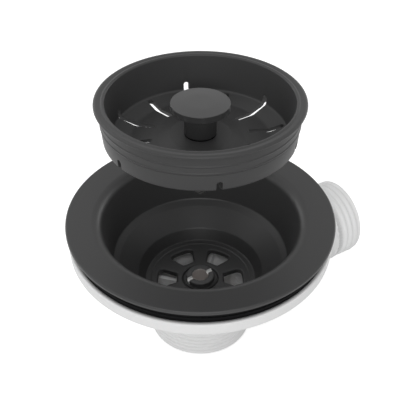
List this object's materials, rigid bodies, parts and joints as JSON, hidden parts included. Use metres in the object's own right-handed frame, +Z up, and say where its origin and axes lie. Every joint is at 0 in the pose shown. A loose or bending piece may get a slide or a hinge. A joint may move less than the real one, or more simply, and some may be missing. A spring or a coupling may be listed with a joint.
{
  "type": "kitchen sink basket strainer waste",
  "caption": "Sink strainer waste: dark stepped flange cup with a slotted grid, moulded body with threaded outlet and side branch, and a lift-out plug basket on a sprung pin, shown lifted.",
  "frame": {"origin": "on the drain axis at the open end of the outlet", "axes": "+Z up along the drain axis, towards the sink; -Y towards the camera of the picture; the overflow branch points 30 degrees from +X towards +Y"},
  "size_m": [0.1352, 0.114, 0.1206],
  "materials": {
    "coated_steel": "satin anthracite coating on pressed stainless steel",
    "coated_screw": "satin anthracite coating",
    "knob_metal": "satin anthracite coating, brushed under it",
    "dark_plastic": "satin moulded, near black",
    "seal_rubber": "black, matt",
    "white_polypropylene": "white moulded, slight sheen",
    "insert_brass": "machined",
    "bare_steel": "plain stainless",
    "acetal": "natural acetal"
  },
  "bodies": {
    "waste": {"strainer_flange": "coated_steel", "flange_seal": "seal_rubber", "body_gasket": "seal_rubber", "waste_body": "white_polypropylene", "boss_insert": "insert_brass", "fixing_screw": "coated_screw", "screw_washer": "bare_steel"},
    "catch": {"catch_sleeve": "acetal"},
    "plug": {"strainer_basket": "dark_plastic", "basket_seal": "seal_rubber", "stem_sleeve": "dark_plastic", "lift_knob": "knob_metal", "stem_washer": "seal_rubber", "plug_pin": "bare_steel", "floor_seal": "seal_rubber", "floor_washer": "bare_steel", "pin_nut": "bare_steel"}
  },
  "joints": [
    {"name": "basket_lift", "type": "slide", "parent": "waste", "child": "catch", "axis": [0, 0, 1], "range_m": [-0.0635, 0]},
    {"name": "basket_turn", "type": "hinge", "parent": "catch", "child": "plug", "pos_m": [0, 0, 0.09], "axis": [0, 0, 1], "continuous": true}
  ]
}
